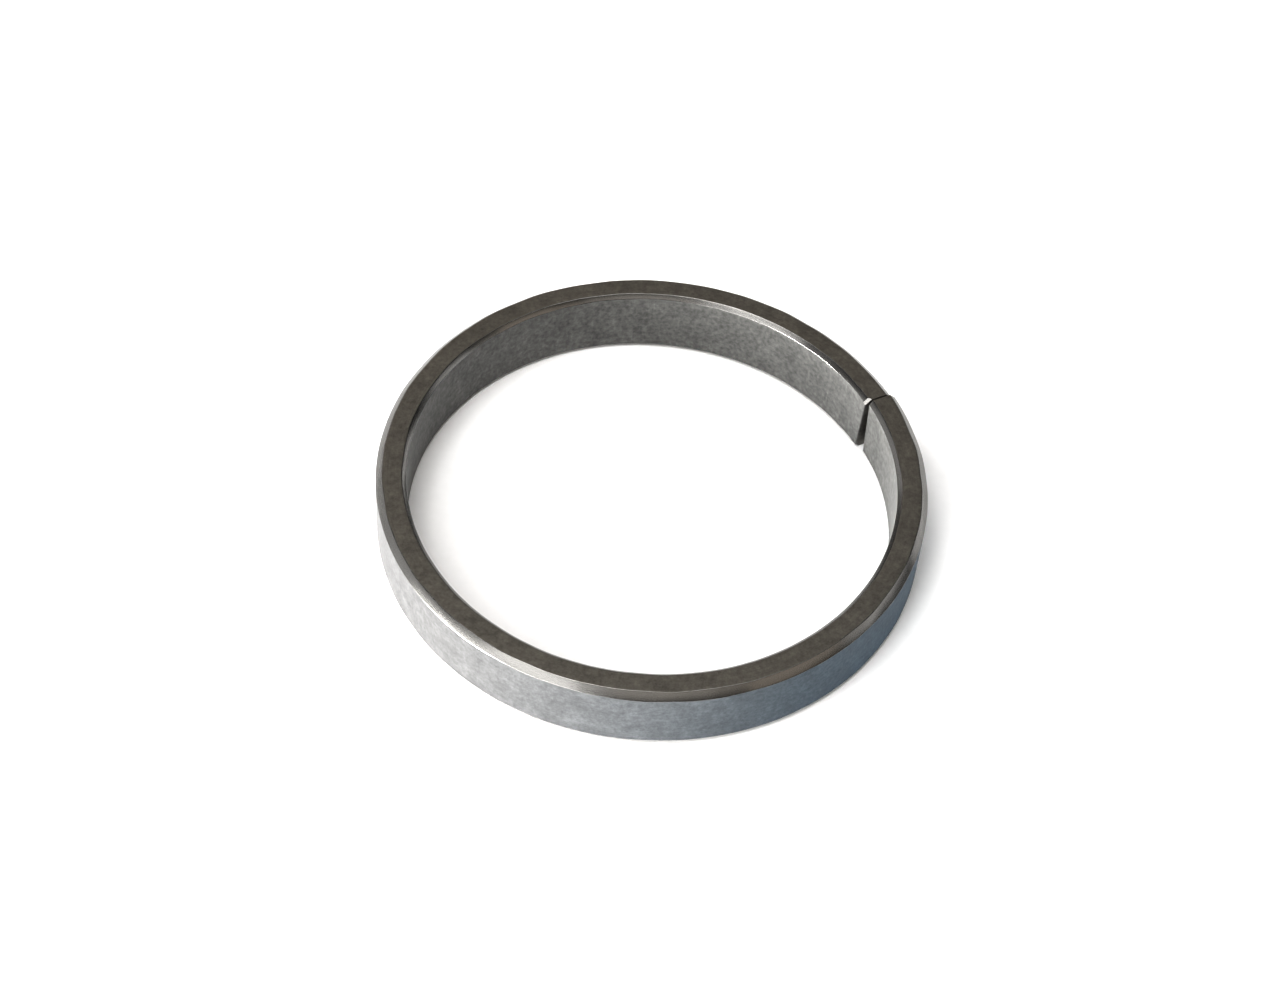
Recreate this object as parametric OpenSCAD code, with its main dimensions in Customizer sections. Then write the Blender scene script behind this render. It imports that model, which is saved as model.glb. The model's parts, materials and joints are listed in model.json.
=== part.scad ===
// Split spacer ring for a gearbox shaft: flat steel strip rolled into a ring, its ends butted and left open.
// Millimetres. The bore's axis is Z, and the ring lies on Z = 0.

/* [Strip] */
// Diameter of the bore that the strip is rolled to
bore_d = 51; // [30:0.5:120]
// Thickness of the strip, from the bore to the outside
wall = 3.2; // [1.6:0.1:6]
// Width of the strip, which is the height of the ring
width = 8; // [4:0.25:25]

/* [Edges] */
// Chamfer along both edges of the bore
bore_chamfer = 0.45; // [0.1:0.05:0.8]
// Chamfer along both edges of the outside
outer_chamfer = 0.7; // [0.1:0.05:1]

/* [Joint] */
// Direction of the joint, anticlockwise from the X axis
joint_angle = 30; // [0:1:359]
// Gap between the two ends at the top face
joint_gap = 0.15; // [0.1:0.05:1]
// Lean of each sheared end, which opens the joint towards the bottom face
end_lean = 3.5; // [0:0.5:10]
// Corner knocked off the true end, where the top face meets the bore
corner_break = 0.8; // [0.6:0.05:1.5]
// How far the sprung end stands out of round at the joint
spring = 0.36; // [0.02:0.02:1.5]
// Stretch of the ring over which that end leaves the round, in degrees
spring_arc = 80; // [30:1:120]

/* [Hidden] */
$fn = 256;
// A length to the nearest thousandth of a millimetre, so that bends which share a face meet exactly
function to_micron(length) = round(length * 1000) / 1000;
// Radius of the strip's middle line
mid_r = to_micron((bore_d + wall) / 2);
// Distance from the bore's axis to the middle of the sprung end
sprung_r = mid_r + spring;
// Radius of the sprung stretch, which leaves the round tangentially and reaches the joint at sprung_r
stretch_r = to_micron(
    mid_r + (pow(sprung_r, 2) - pow(mid_r, 2)) / (2 * (mid_r - sprung_r * cos(spring_arc)))
);
// Distance from the bore's axis to the sprung stretch's own axis
stretch_shift = mid_r - stretch_r;
// Angle that the sprung stretch turns through about its own axis
stretch_arc = spring_arc + asin(stretch_shift * sin(spring_arc) / stretch_r);
// Angle by which each bent stretch stops short of the joint's middle, within the gap
short_arc = asin(joint_gap / 4 / mid_r);
// How far a cut runs past the faces that it opens
overrun = 0.05;
// Angle between a cube's diagonal and its edges
corner_tilt = acos(1 / sqrt(3));

// The strip's section about its middle line, with its four edges chamfered.
module strip_section() {
    inside = -wall / 2;
    outside = wall / 2;
    polygon([
        [inside + bore_chamfer, 0],
        [outside - outer_chamfer, 0],
        [outside, outer_chamfer],
        [outside, width - outer_chamfer],
        [outside - outer_chamfer, width],
        [inside + bore_chamfer, width],
        [inside, width - bore_chamfer],
        [inside, bore_chamfer]
    ]);
}

// Strip bent to radius r about the Z axis, anticlockwise between two angles.
module bent_strip(r, from, to) {
    rotate_extrude(angle = to - from, start = from)
        translate([r, 0])
            strip_section();
}

// Half the joint's gap at a height.
function half_gap(z) = joint_gap / 2 + (width - z) * tan(end_lean);

// What the two sheared ends leave open between them, with the joint on the X axis.
module joint_opening() {
    translate([mid_r - wall, 0, 0])
        rotate([90, 0, 90])
            linear_extrude(height = 2 * wall + spring)
                polygon([
                    [-half_gap(-overrun), -overrun],
                    [half_gap(-overrun), -overrun],
                    [half_gap(width + overrun), width + overrun],
                    [-half_gap(width + overrun), width + overrun]
                ]);
}

// Block whose lower face takes a corner off the true end, equally far along its three edges.
module knocked_corner() {
    translate([bore_d / 2, joint_gap / 2, width])
        rotate([0, corner_tilt, -135])
            translate([-wall, -wall, -corner_break / sqrt(3)])
                cube([2 * wall, 2 * wall, corner_break]);
}

// The part of the strip that is true to the round, from the joint to where the sprung stretch starts on the X axis.
module true_stretch() {
    difference() {
        bent_strip(mid_r, spring_arc + short_arc, 360);
        rotate([0, 0, spring_arc])
            knocked_corner();
    }
}

// The end that springs out, from the X axis to the joint.
module sprung_stretch() {
    translate([stretch_shift, 0, 0])
        bent_strip(stretch_r, 0, stretch_arc - short_arc);
}

module spacer_ring() {
    color([0.5, 0.5, 0.49])
        rotate([0, 0, joint_angle - spring_arc])
            difference() {
                union() {
                    true_stretch();
                    sprung_stretch();
                }
                rotate([0, 0, spring_arc])
                    joint_opening();
            }
}

spacer_ring();
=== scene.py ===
# Looks of the split spacer ring: a rolled steel strip lying on a pale studio floor.
import json
import math

import bmesh
import bpy
from mathutils import Matrix, Quaternion, Vector, noise


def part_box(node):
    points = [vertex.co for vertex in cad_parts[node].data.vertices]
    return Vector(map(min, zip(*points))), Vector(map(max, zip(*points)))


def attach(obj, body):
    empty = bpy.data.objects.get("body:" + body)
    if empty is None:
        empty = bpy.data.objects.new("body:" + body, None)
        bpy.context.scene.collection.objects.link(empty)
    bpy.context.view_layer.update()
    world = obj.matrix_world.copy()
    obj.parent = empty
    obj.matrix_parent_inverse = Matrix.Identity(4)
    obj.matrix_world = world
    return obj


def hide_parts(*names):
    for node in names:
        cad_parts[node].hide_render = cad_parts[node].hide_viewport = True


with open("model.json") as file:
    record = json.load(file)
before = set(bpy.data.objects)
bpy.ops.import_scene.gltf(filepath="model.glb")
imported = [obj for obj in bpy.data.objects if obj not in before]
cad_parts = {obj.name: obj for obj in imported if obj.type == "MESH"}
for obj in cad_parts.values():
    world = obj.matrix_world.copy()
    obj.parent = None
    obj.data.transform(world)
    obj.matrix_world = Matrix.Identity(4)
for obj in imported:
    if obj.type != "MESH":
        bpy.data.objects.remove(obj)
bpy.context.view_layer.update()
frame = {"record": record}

MM = 0.001

# Sizes of the ring in millimetres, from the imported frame
low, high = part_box("spacer_ring")
mounts = {mount["name"]: mount for mount in frame["record"]["mounts"]}
bore_r = mounts["bore"]["dims"]["r_mm"]
outer_r = -low.x / MM
width = high.z / MM
wall = outer_r - bore_r
mid_r = bore_r + wall / 2

# Edges of the strip in millimetres: its chamfers, the rounding where one ends, and that of the sheared ends
BORE_CHAMFER = 0.45
OUTER_CHAMFER = 0.7
EDGE_RADIUS = 0.14
END_RADIUS = 0.1

# How far tumbling left the chamfers uneven in millimetres, and about how often that changes round the ring
BORE_UNEVEN = 0.06
BORE_LOBES = 9
OUTER_UNEVEN = 0.1
OUTER_LOBES = 8

# Joint of the strip, in millimetres and degrees
JOINT_ANGLE = 30
JOINT_GAP = 0.15
END_LEAN = 3.5
CORNER_BREAK = 0.8
SPRING = 0.36
SPRING_ARC = 80

# How finely the strip is drawn: millimetres along it, and steps round its edges and those of its sheared ends
STEP = 0.25
EDGE_STEPS = 4
END_STEPS = 3

# Rubbing fades from 1 on a chamfer to RUB_BY_FLAT where a flat starts, and to 0 over a margin in millimetres
RUB_BY_FLAT = 0.4
RUBBED_MARGIN = 0.3

# Camera, fitted to the photograph: distance and aim in mm, angles in degrees, lens in mm on a 36 mm frame
CAMERA_DISTANCE = 274.9
CAMERA_HEIGHT = 50.51
CAMERA_ROLL = 5.101
CAMERA_AIM = (-1.039, 2.615, 0.0)
CAMERA_LENS = 72.65
CAMERA_FRAME = 36

# Half the floor's width, and how far a light usually stands from the ring, in metres
FLOOR_REACH = 3.0
LIGHT_DISTANCE = 0.8

# Sockets of a Mix node, which has one set for numbers and one for colours
NUMBER_A, NUMBER_B, NUMBER_OUT = 2, 3, 0
COLOUR_A, COLOUR_B, COLOUR_OUT = 6, 7, 2

# Levels between which most of a noise pattern lies
NOISE_LOW, NOISE_HIGH = 0.3, 0.7


def linear(hex_colour):
    """An sRGB hex value as linear RGBA."""
    levels = [int(hex_colour[i:i + 2], 16) / 255 for i in (1, 3, 5)]
    curve = [v / 12.92 if v <= 0.04045 else ((v + 0.055) / 1.055) ** 2.4 for v in levels]
    return (*curve, 1.0)


def add(tree, kind, inputs=(), **settings):
    """Adds a node with its settings; an input takes a value, or the output socket that feeds it."""
    made = tree.nodes.new("ShaderNode" + kind)
    for name, value in settings.items():
        setattr(made, name, value)
    for name, value in dict(inputs).items():
        if isinstance(value, bpy.types.NodeSocket):
            tree.links.new(value, made.inputs[name])
        else:
            made.inputs[name].default_value = value
    return made


def per_metre(size_mm):
    """Scale of a pattern whose features are this many millimetres across."""
    return 1 / (size_mm * MM)


def strip_section(inner_top, inner_bottom, outer_top, outer_bottom, inset):
    """The strip's section as points (distance from the middle line, height, rub, bore side, slit side).
    The first four sizes are its chamfers, which are rounded where they end, and all sides move in by inset.
    Rub is 1 along the edges and 0 on the flats, bore side is 1 on the bore's wall and 0 elsewhere,
    and slit side is 1 on the top and bottom, where the strip was slit from the coil."""
    shrink = inset * (2 - math.sqrt(2))
    inside, outside = inset - wall / 2, wall / 2 - inset
    bottom, top = inset, width - inset
    corners = [
        Vector((inside + inner_bottom - shrink, bottom)),
        Vector((outside - outer_bottom + shrink, bottom)),
        Vector((outside, bottom + outer_bottom - shrink)),
        Vector((outside, top - outer_top + shrink)),
        Vector((outside - outer_top + shrink, top)),
        Vector((inside + inner_top - shrink, top)),
        Vector((inside, top - inner_top + shrink)),
        Vector((inside, bottom + inner_bottom - shrink)),
    ]
    slit_corners = (0, 1, 4, 5)
    bore_corners = (6, 7)
    bend = math.radians(45)
    radius = EDGE_RADIUS - inset
    setback = radius * math.tan(bend / 2)
    points = []
    for i, corner in enumerate(corners):
        came = (corner - corners[i - 1]).normalized()
        following = corners[(i + 1) % len(corners)]
        flat_follows = i % 2 == 0
        sides = (float(i in bore_corners), float(i in slit_corners))
        left = Vector((-came.y, came.x))
        centre = corner - came * setback + left * radius
        for k in range(EDGE_STEPS + 1):
            turned = k / EDGE_STEPS
            to_flat = turned if flat_follows else 1 - turned
            rub = 1 - (1 - RUB_BY_FLAT) * to_flat
            place = centre - Matrix.Rotation(bend * turned, 2) @ left * radius
            points.append((*place, rub, *sides))
        if flat_follows:
            flat = following - corner
            for along in (RUBBED_MARGIN, flat.length / 2, flat.length - RUBBED_MARGIN):
                points.append((*(corner + flat.normalized() * along), 0.0, *sides))
    return points


def uneven(angle, lobes, seed):
    """Smooth unevenness round the ring, about -1 to 1 and the same each run; more lobes change it faster."""
    return noise.noise(Vector((math.cos(angle) * lobes, math.sin(angle) * lobes, seed)))


def section_at(angle, inset):
    """The section at an angle round the ring, its tumbled chamfers a little uneven."""
    return strip_section(
        BORE_CHAMFER + BORE_UNEVEN * uneven(angle, BORE_LOBES, seed=1.3),
        BORE_CHAMFER + BORE_UNEVEN * uneven(angle, BORE_LOBES, seed=2.7),
        OUTER_CHAMFER + OUTER_UNEVEN * uneven(angle, OUTER_LOBES, seed=4.1),
        OUTER_CHAMFER + OUTER_UNEVEN * uneven(angle, OUTER_LOBES, seed=5.9),
        inset,
    )


def half_gap(z):
    """Half the joint's gap at a height: the ends lean, so it opens towards the bottom."""
    return JOINT_GAP / 2 + (width - z) * math.tan(math.radians(END_LEAN))


def shares_along(length, end_first):
    """Stations along a stretch as (share of its length, inset), the insets rounding the edges of its end."""
    count = round(length / STEP)
    rounds = []
    for k in range(END_STEPS + 1):
        turn = math.radians(90 * k / END_STEPS)
        rounds.append((END_RADIUS * (1 - math.cos(turn)) / length, END_RADIUS * (1 - math.sin(turn))))
    # The plain stations start half a rounding past it, so that none lies close to the last of its steps
    clear = 1.5 * rounds[-1][0]
    stations = rounds + [(i / count, 0.0) for i in range(count + 1) if i / count > clear]
    if end_first:
        return stations
    return [(1 - share, inset) for share, inset in reversed(stations)]


def on_round(radius, angle, z):
    """A point of the ring at an angle and a height."""
    return radius * Vector((math.cos(angle), math.sin(angle), 0)) + Vector((0, 0, z))


def true_stretch():
    """Cross sections of the strip that is true to the round, from the joint to where the sprung stretch
    starts on the X axis.
    Each lengthwise line of the strip has its own start, so the sheared end is flat and leans."""
    joint = math.radians(SPRING_ARC)
    stations = []
    for share, inset in shares_along(mid_r * (math.tau - joint), end_first=True):
        station = []
        for out, z, *marks in section_at(joint + share * (math.tau - joint), inset):
            start = joint + math.asin(half_gap(z) / (mid_r + out))
            angle = start + share * (math.tau - start)
            station.append((on_round(mid_r + out, angle, z), marks))
        stations.append(station)
    return stations


def sprung_stretch():
    """Cross sections of the end that springs out, from the X axis to the joint.
    Its larger arc leaves the round tangentially, about an axis that is shifted along X."""
    joint = math.radians(SPRING_ARC)
    sprung_r = mid_r + SPRING
    stretch_r = mid_r + (sprung_r ** 2 - mid_r ** 2) / (2 * (mid_r - sprung_r * math.cos(joint)))
    shift = mid_r - stretch_r
    stations = []
    # Its first station is the last one of the true stretch
    for share, inset in shares_along(stretch_r * joint, end_first=False)[1:]:
        station = []
        for out, z, *marks in section_at(share * joint, inset):
            end = joint + math.asin((shift * math.sin(joint) - half_gap(z)) / (stretch_r + out))
            place = on_round(stretch_r + out, share * end, z) + Vector((shift, 0, 0))
            station.append((place, marks))
        stations.append(station)
    return stations


def knock_corner(mesh, rub_layer):
    """Takes the corner off the true end where the top face meets the bore, and closes the cut."""
    joint = Matrix.Rotation(math.radians(SPRING_ARC), 3, "Z")
    corner = joint @ Vector((bore_r, JOINT_GAP / 2, width)) * MM
    outward = joint @ Vector((-1, -1, 1)).normalized()
    true_end = joint @ Vector((0, 1, 0))
    reach = 2 * CORNER_BREAK * MM
    near = [
        face for face in mesh.faces
        if face.calc_center_median().dot(true_end) > 0
        and min((vert.co - corner).length for vert in face.verts) < reach
    ]
    # Each part once and in the order of the faces, so that every run gives the same mesh
    parts = dict.fromkeys(part for face in near for part in (face, *face.edges, *face.verts))
    cut = bmesh.ops.bisect_plane(
        mesh, geom=list(parts), dist=1e-9, clear_outer=True,
        plane_co=corner - outward * CORNER_BREAK * MM / math.sqrt(3), plane_no=outward,
    )["geom_cut"]
    rim = [part for part in cut if isinstance(part, bmesh.types.BMEdge)]
    bmesh.ops.edgeloop_fill(mesh, edges=rim)
    for edge in rim:
        for vert in edge.verts:
            vert[rub_layer] = 1.0


def spacer_ring():
    """The ring as one closed skin, swept along the strip, with the joint turned to its place at the end."""
    mesh = bmesh.new()
    layers = [mesh.verts.layers.float.new(name) for name in ("edge_rub", "bore_side", "slit_side")]
    rows = []
    for station in true_stretch() + sprung_stretch():
        row = []
        for place, marks in station:
            vert = mesh.verts.new(place * MM)
            for layer, value in zip(layers, marks):
                vert[layer] = value
            row.append(vert)
        rows.append(row)
    around = len(rows[0])
    for here, ahead in zip(rows, rows[1:]):
        for k in range(around):
            after = (k + 1) % around
            mesh.faces.new((here[k], ahead[k], ahead[after], here[after]))
    mesh.faces.new(rows[0])
    mesh.faces.new(reversed(rows[-1]))
    knock_corner(mesh, layers[0])
    turn = Matrix.Rotation(math.radians(JOINT_ANGLE - SPRING_ARC), 3, "Z")
    bmesh.ops.rotate(mesh, verts=mesh.verts, matrix=turn)
    # The swept faces are smooth, and the flat ends and the knocked corner aren't
    for face in mesh.faces:
        face.smooth = len(face.verts) <= 4
    data = bpy.data.meshes.new("split_spacer_ring")
    mesh.to_mesh(data)
    mesh.free()
    piece = bpy.data.objects.new("split_spacer_ring", data)
    bpy.context.scene.collection.objects.link(piece)
    piece.modifiers.new("flat_faces", "WEIGHTED_NORMAL").keep_sharp = True
    return piece


def rolling_lines(tree, place):
    """Lines left by the rolls, 0.12 mm apart and about 9 mm long, which run along the strip.
    They change across it, and so with height on the walls and with radius on the top and bottom."""
    spacing, length = 0.12, 9
    axes = add(tree, "SeparateXYZ", {"Vector": place}).outputs
    flat = add(tree, "VectorMath", {0: place, 1: (1.0, 1.0, 0.0)}, operation="MULTIPLY").outputs["Vector"]
    radius = add(tree, "VectorMath", {0: flat}, operation="LENGTH").outputs["Value"]
    across = add(tree, "Math", {0: axes["Z"], 1: radius}, operation="ADD").outputs["Value"]
    across = add(tree, "Math", {0: across, 1: length / spacing}, operation="MULTIPLY").outputs["Value"]
    along = add(tree, "CombineXYZ", {"X": axes["X"], "Y": axes["Y"], "Z": across}).outputs["Vector"]
    return add(tree, "TexNoise", {
        "Vector": along, "Scale": per_metre(length), "Detail": 3.0, "Roughness": 0.65,
    }).outputs["Fac"]


def bore_scuffs(tree, place, bore_side):
    """Light scuffs up and down the bore, about 0.4 mm wide and 3 mm long, from sliding over its shaft."""
    scuff_width, scuff_length = 0.4, 3
    upright = add(tree, "VectorMath", {
        0: place, 1: (1.0, 1.0, scuff_width / scuff_length),
    }, operation="MULTIPLY").outputs["Vector"]
    scuffs = add(tree, "TexNoise", {
        "Vector": upright, "Scale": per_metre(scuff_width), "Detail": 1.0, "Roughness": 0.5,
    }).outputs["Fac"]
    scuffs = add(tree, "MapRange", {"Value": scuffs, "From Min": 0.6, "From Max": 0.78}).outputs["Result"]
    return add(tree, "Math", {0: scuffs, 1: bore_side}, operation="MULTIPLY").outputs["Value"]


def tumbled_steel_strip():
    """Mild steel strip, cold rolled, slit and then tumbled with its oil still on it.
    The eye sees a dull grey with cloudy patches and a fine sparkle, a smoother bore with stronger flecks,
    slit edges browned by a painted reflection, faint rolling lines along the strip, and edges rubbed bright."""
    material = bpy.data.materials.new("tumbled_steel_strip")
    material.use_nodes = True
    tree = material.node_tree
    shader = tree.nodes["Principled BSDF"]

    place = add(tree, "TexCoord").outputs["Object"]
    rub = add(tree, "Attribute", attribute_name="edge_rub").outputs["Fac"]
    bore_side = add(tree, "Attribute", attribute_name="bore_side").outputs["Fac"]
    slit_side = add(tree, "Attribute", attribute_name="slit_side").outputs["Fac"]

    # Oil and oxide clouds about 1.8 mm across, with a second finer set of 0.5 mm
    clouds = add(tree, "TexNoise", {
        "Vector": place, "Scale": per_metre(1.8), "Detail": 3.0, "Roughness": 0.6,
    }).outputs["Fac"]
    flecks = add(tree, "TexNoise", {
        "Vector": place, "Scale": per_metre(0.5), "Detail": 2.0, "Roughness": 0.55,
    }).outputs["Fac"]
    # The sparkle of tumbled steel is about 0.05 mm across, drawn at 0.2 mm so that it shows
    sparkle = add(tree, "TexNoise", {
        "Vector": place, "Scale": per_metre(0.2), "Detail": 2.0, "Roughness": 0.7,
    }).outputs["Fac"]
    lines = rolling_lines(tree, place)
    scuffs = bore_scuffs(tree, place, bore_side)

    # Rubbing reaches unevenly in from the edges
    reach = add(tree, "MapRange", {
        "Value": clouds, "From Min": 0.35, "From Max": 0.65, "To Min": -0.15, "To Max": 0.15,
    }).outputs["Result"]
    worn = add(tree, "Math", {0: rub, 1: reach}, operation="ADD").outputs["Value"]
    worn = add(tree, "MapRange", {"Value": worn, "From Min": 0.3, "From Max": 0.82}).outputs["Result"]

    # Each pattern darkens and lightens the steel by its own share, the flecks more so in the bore
    fleck_share = add(tree, "Mix", {
        "Factor": bore_side, NUMBER_A: 0.14, NUMBER_B: 0.26,
    }).outputs[NUMBER_OUT]
    tone = add(tree, "MapRange", {"Value": scuffs, "To Min": 1.0, "To Max": 1.2}).outputs["Result"]
    for pattern, share in ((clouds, 0.15), (flecks, fleck_share), (sparkle, 0.1), (lines, 0.07)):
        swing = add(tree, "MapRange", {
            "Value": pattern, "From Min": NOISE_LOW, "From Max": NOISE_HIGH, "To Min": -1.0, "To Max": 1.0,
        }).outputs["Result"]
        swing = add(tree, "Math", {0: swing, 1: share, 2: 1.0}, operation="MULTIPLY_ADD").outputs["Value"]
        tone = add(tree, "Math", {0: tone, 1: swing}, operation="MULTIPLY").outputs["Value"]

    # Colour of each side under those patterns, and then the bare steel of the rubbed edges
    outside = linear("#5c5c5c")
    bore = linear("#656563")
    # The slit edges are grey steel, and their brownish tint is a painted warm reflection
    slit_steel_and_warm_reflection = linear("#6a6761")
    rubbed = linear("#7a7977")
    colour = add(tree, "Mix", {
        "Factor": bore_side, COLOUR_A: outside, COLOUR_B: bore,
    }, data_type="RGBA").outputs[COLOUR_OUT]
    colour = add(tree, "Mix", {
        "Factor": slit_side, COLOUR_A: colour, COLOUR_B: slit_steel_and_warm_reflection,
    }, data_type="RGBA").outputs[COLOUR_OUT]
    colour = add(tree, "VectorMath", {0: colour, "Scale": tone}, operation="SCALE").outputs["Vector"]
    colour = add(tree, "Mix", {
        "Factor": worn, COLOUR_A: colour, COLOUR_B: rubbed,
    }, data_type="RGBA").outputs[COLOUR_OUT]
    tree.links.new(colour, shader.inputs["Base Color"])

    # The oxide film makes the rolled faces less metallic than the slit edges, and bare steel is metal through
    metal = add(tree, "Mix", {"Factor": slit_side, NUMBER_A: 0.3, NUMBER_B: 0.75}).outputs[NUMBER_OUT]
    metal = add(tree, "Mix", {"Factor": worn, NUMBER_A: metal, NUMBER_B: 1.0}).outputs[NUMBER_OUT]
    tree.links.new(metal, shader.inputs["Metallic"])

    # Dull and cloudy outside, smoother in the bore and on the slit edges, and polished where rubbed
    rough = add(tree, "MapRange", {
        "Value": clouds, "From Min": NOISE_LOW, "From Max": NOISE_HIGH, "To Min": 0.62, "To Max": 0.72,
    }).outputs["Result"]
    for part, roughness in ((bore_side, 0.42), (slit_side, 0.46), (worn, 0.25)):
        rough = add(tree, "Mix", {
            "Factor": part, NUMBER_A: rough, NUMBER_B: roughness,
        }).outputs[NUMBER_OUT]
    tree.links.new(rough, shader.inputs["Roughness"])

    # Tumbling marks and rolling lines a few thousandths of a millimetre deep, nearly gone where rubbed
    strength = add(tree, "MapRange", {"Value": worn, "To Min": 0.6, "To Max": 0.06}).outputs["Result"]
    under = {}
    for pattern, depth in ((sparkle, 0.006), (flecks, 0.012), (lines, 0.004)):
        relief = add(tree, "Bump", {
            "Height": pattern, "Strength": strength, "Distance": depth * MM, **under,
        }).outputs["Normal"]
        under = {"Normal": relief}
    tree.links.new(relief, shader.inputs["Normal"])
    return material


def matt_white_paper():
    """Uncoated white paper, rolled smooth: bright and matt, with a faint fibrous unevenness."""
    material = bpy.data.materials.new("matt_white_paper")
    material.use_nodes = True
    tree = material.node_tree
    shader = tree.nodes["Principled BSDF"]
    place = add(tree, "TexCoord").outputs["Object"]
    # Fibre clumps about 1.2 mm across
    fibre = add(tree, "TexNoise", {
        "Vector": place, "Scale": per_metre(1.2), "Detail": 4.0, "Roughness": 0.6,
    }).outputs["Fac"]
    colour = add(tree, "Mix", {
        "Factor": fibre, COLOUR_A: linear("#f1f1f1"), COLOUR_B: linear("#f7f7f7"),
    }, data_type="RGBA").outputs[COLOUR_OUT]
    tree.links.new(colour, shader.inputs["Base Color"])
    shader.inputs["Roughness"].default_value = 0.9
    relief = add(tree, "Bump", {"Height": fibre, "Strength": 0.2, "Distance": 0.02 * MM}).outputs["Normal"]
    tree.links.new(relief, shader.inputs["Normal"])
    return material


def white_floor():
    """A sheet of paper under the ring, so wide that its edge stays out of view."""
    data = bpy.data.meshes.new("studio_floor")
    mesh = bmesh.new()
    bmesh.ops.create_grid(mesh, x_segments=1, y_segments=1, size=FLOOR_REACH)
    mesh.to_mesh(data)
    mesh.free()
    floor = bpy.data.objects.new("studio_floor", data)
    bpy.context.scene.collection.objects.link(floor)
    data.materials.append(matt_white_paper())


def place_camera():
    """The camera, in front of the ring and looking down on it."""
    data = bpy.data.cameras.new("camera")
    data.lens = CAMERA_LENS
    data.sensor_width = CAMERA_FRAME
    data.clip_start = 0.01
    data.clip_end = 20
    camera = bpy.data.objects.new("camera", data)
    bpy.context.scene.collection.objects.link(camera)
    rise = math.radians(CAMERA_HEIGHT)
    camera.location = Vector((0, -math.cos(rise), math.sin(rise))) * CAMERA_DISTANCE * MM
    look = Vector(CAMERA_AIM) * MM - camera.location
    roll = Quaternion((0, 0, 1), math.radians(CAMERA_ROLL))
    camera.rotation_mode = "QUATERNION"
    camera.rotation_quaternion = look.to_track_quat("-Z", "Y") @ roll
    bpy.context.scene.camera = camera


def soft_light(name, azimuth, height, size, watts, colour="#ffffff", glints=True, distance=LIGHT_DISTANCE):
    """A soft light aimed at the ring: azimuth anticlockwise from X and height in degrees, size across and up
    and distance in metres. Without glints it lights the dull faces and isn't mirrored in polished edges."""
    data = bpy.data.lights.new(name, "AREA")
    data.shape = "RECTANGLE"
    data.size, data.size_y = size
    data.energy = watts
    data.color = linear(colour)[:3]
    lamp = bpy.data.objects.new(name, data)
    bpy.context.scene.collection.objects.link(lamp)
    turn = Quaternion((0, 0, 1), math.radians(azimuth)) @ Quaternion((0, 1, 0), -math.radians(height))
    lamp.location = turn @ Vector((distance, 0, 0))
    lamp.rotation_mode = "QUATERNION"
    lamp.rotation_quaternion = (-lamp.location).to_track_quat("-Z", "Y")
    lamp.visible_camera = False
    lamp.visible_glossy = glints


def light_studio():
    """Strong low lights that shape the walls, weaker panels that the rubbed edges mirror, light from above
    for the floor, and a dim surround."""
    soft_light("left", 210, 8, (0.4, 0.15), 10.3)
    soft_light("low_left", 212, 1.2, (0.36, 0.03), 17.2, "#fffdfb")
    soft_light("low_front", 244, 16, (0.35, 0.2), 2.4)
    soft_light("front_left", 233, 35, (0.5, 0.22), 1.5)
    soft_light("front", 282, 40, (0.5, 0.25), 0.65, "#fffaf4")
    soft_light("overhead_front", 225, 62, (0.4, 0.4), 3.2)
    soft_light("overhead", 0, 90, (0.6, 0.6), 4.0)
    soft_light("back_left", 166, 14, (0.95, 0.32), 1.3)
    soft_light("far_left", 147, 12, (0.25, 0.15), 10, glints=False)
    soft_light("back", 108, 30, (0.9, 0.35), 0.95, "#fff1e3")
    soft_light("front_right", 328, 32, (0.5, 0.3), 0.65, "#fff4e8")
    soft_light("right", 5, 20, (0.4, 0.2), 0.55)
    soft_light("far_right", 40, 4, (0.5, 0.1), 0.5)
    soft_light("cool_right", 325, 0.6, (1.2, 0.025), 34, "#45b4e8", glints=False, distance=1.6)
    world = bpy.data.worlds.new("studio")
    world.use_nodes = True
    world.node_tree.nodes["Background"].inputs["Color"].default_value = linear("#4a4846")
    bpy.context.scene.world = world


place_camera()

ring = spacer_ring()
ring.data.materials.append(tumbled_steel_strip())
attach(ring, "root")
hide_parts("spacer_ring")

white_floor()
light_studio()

# The photograph's steep contrast
bpy.context.scene.view_settings.view_transform = "Standard"
bpy.context.scene.view_settings.gamma = 0.7
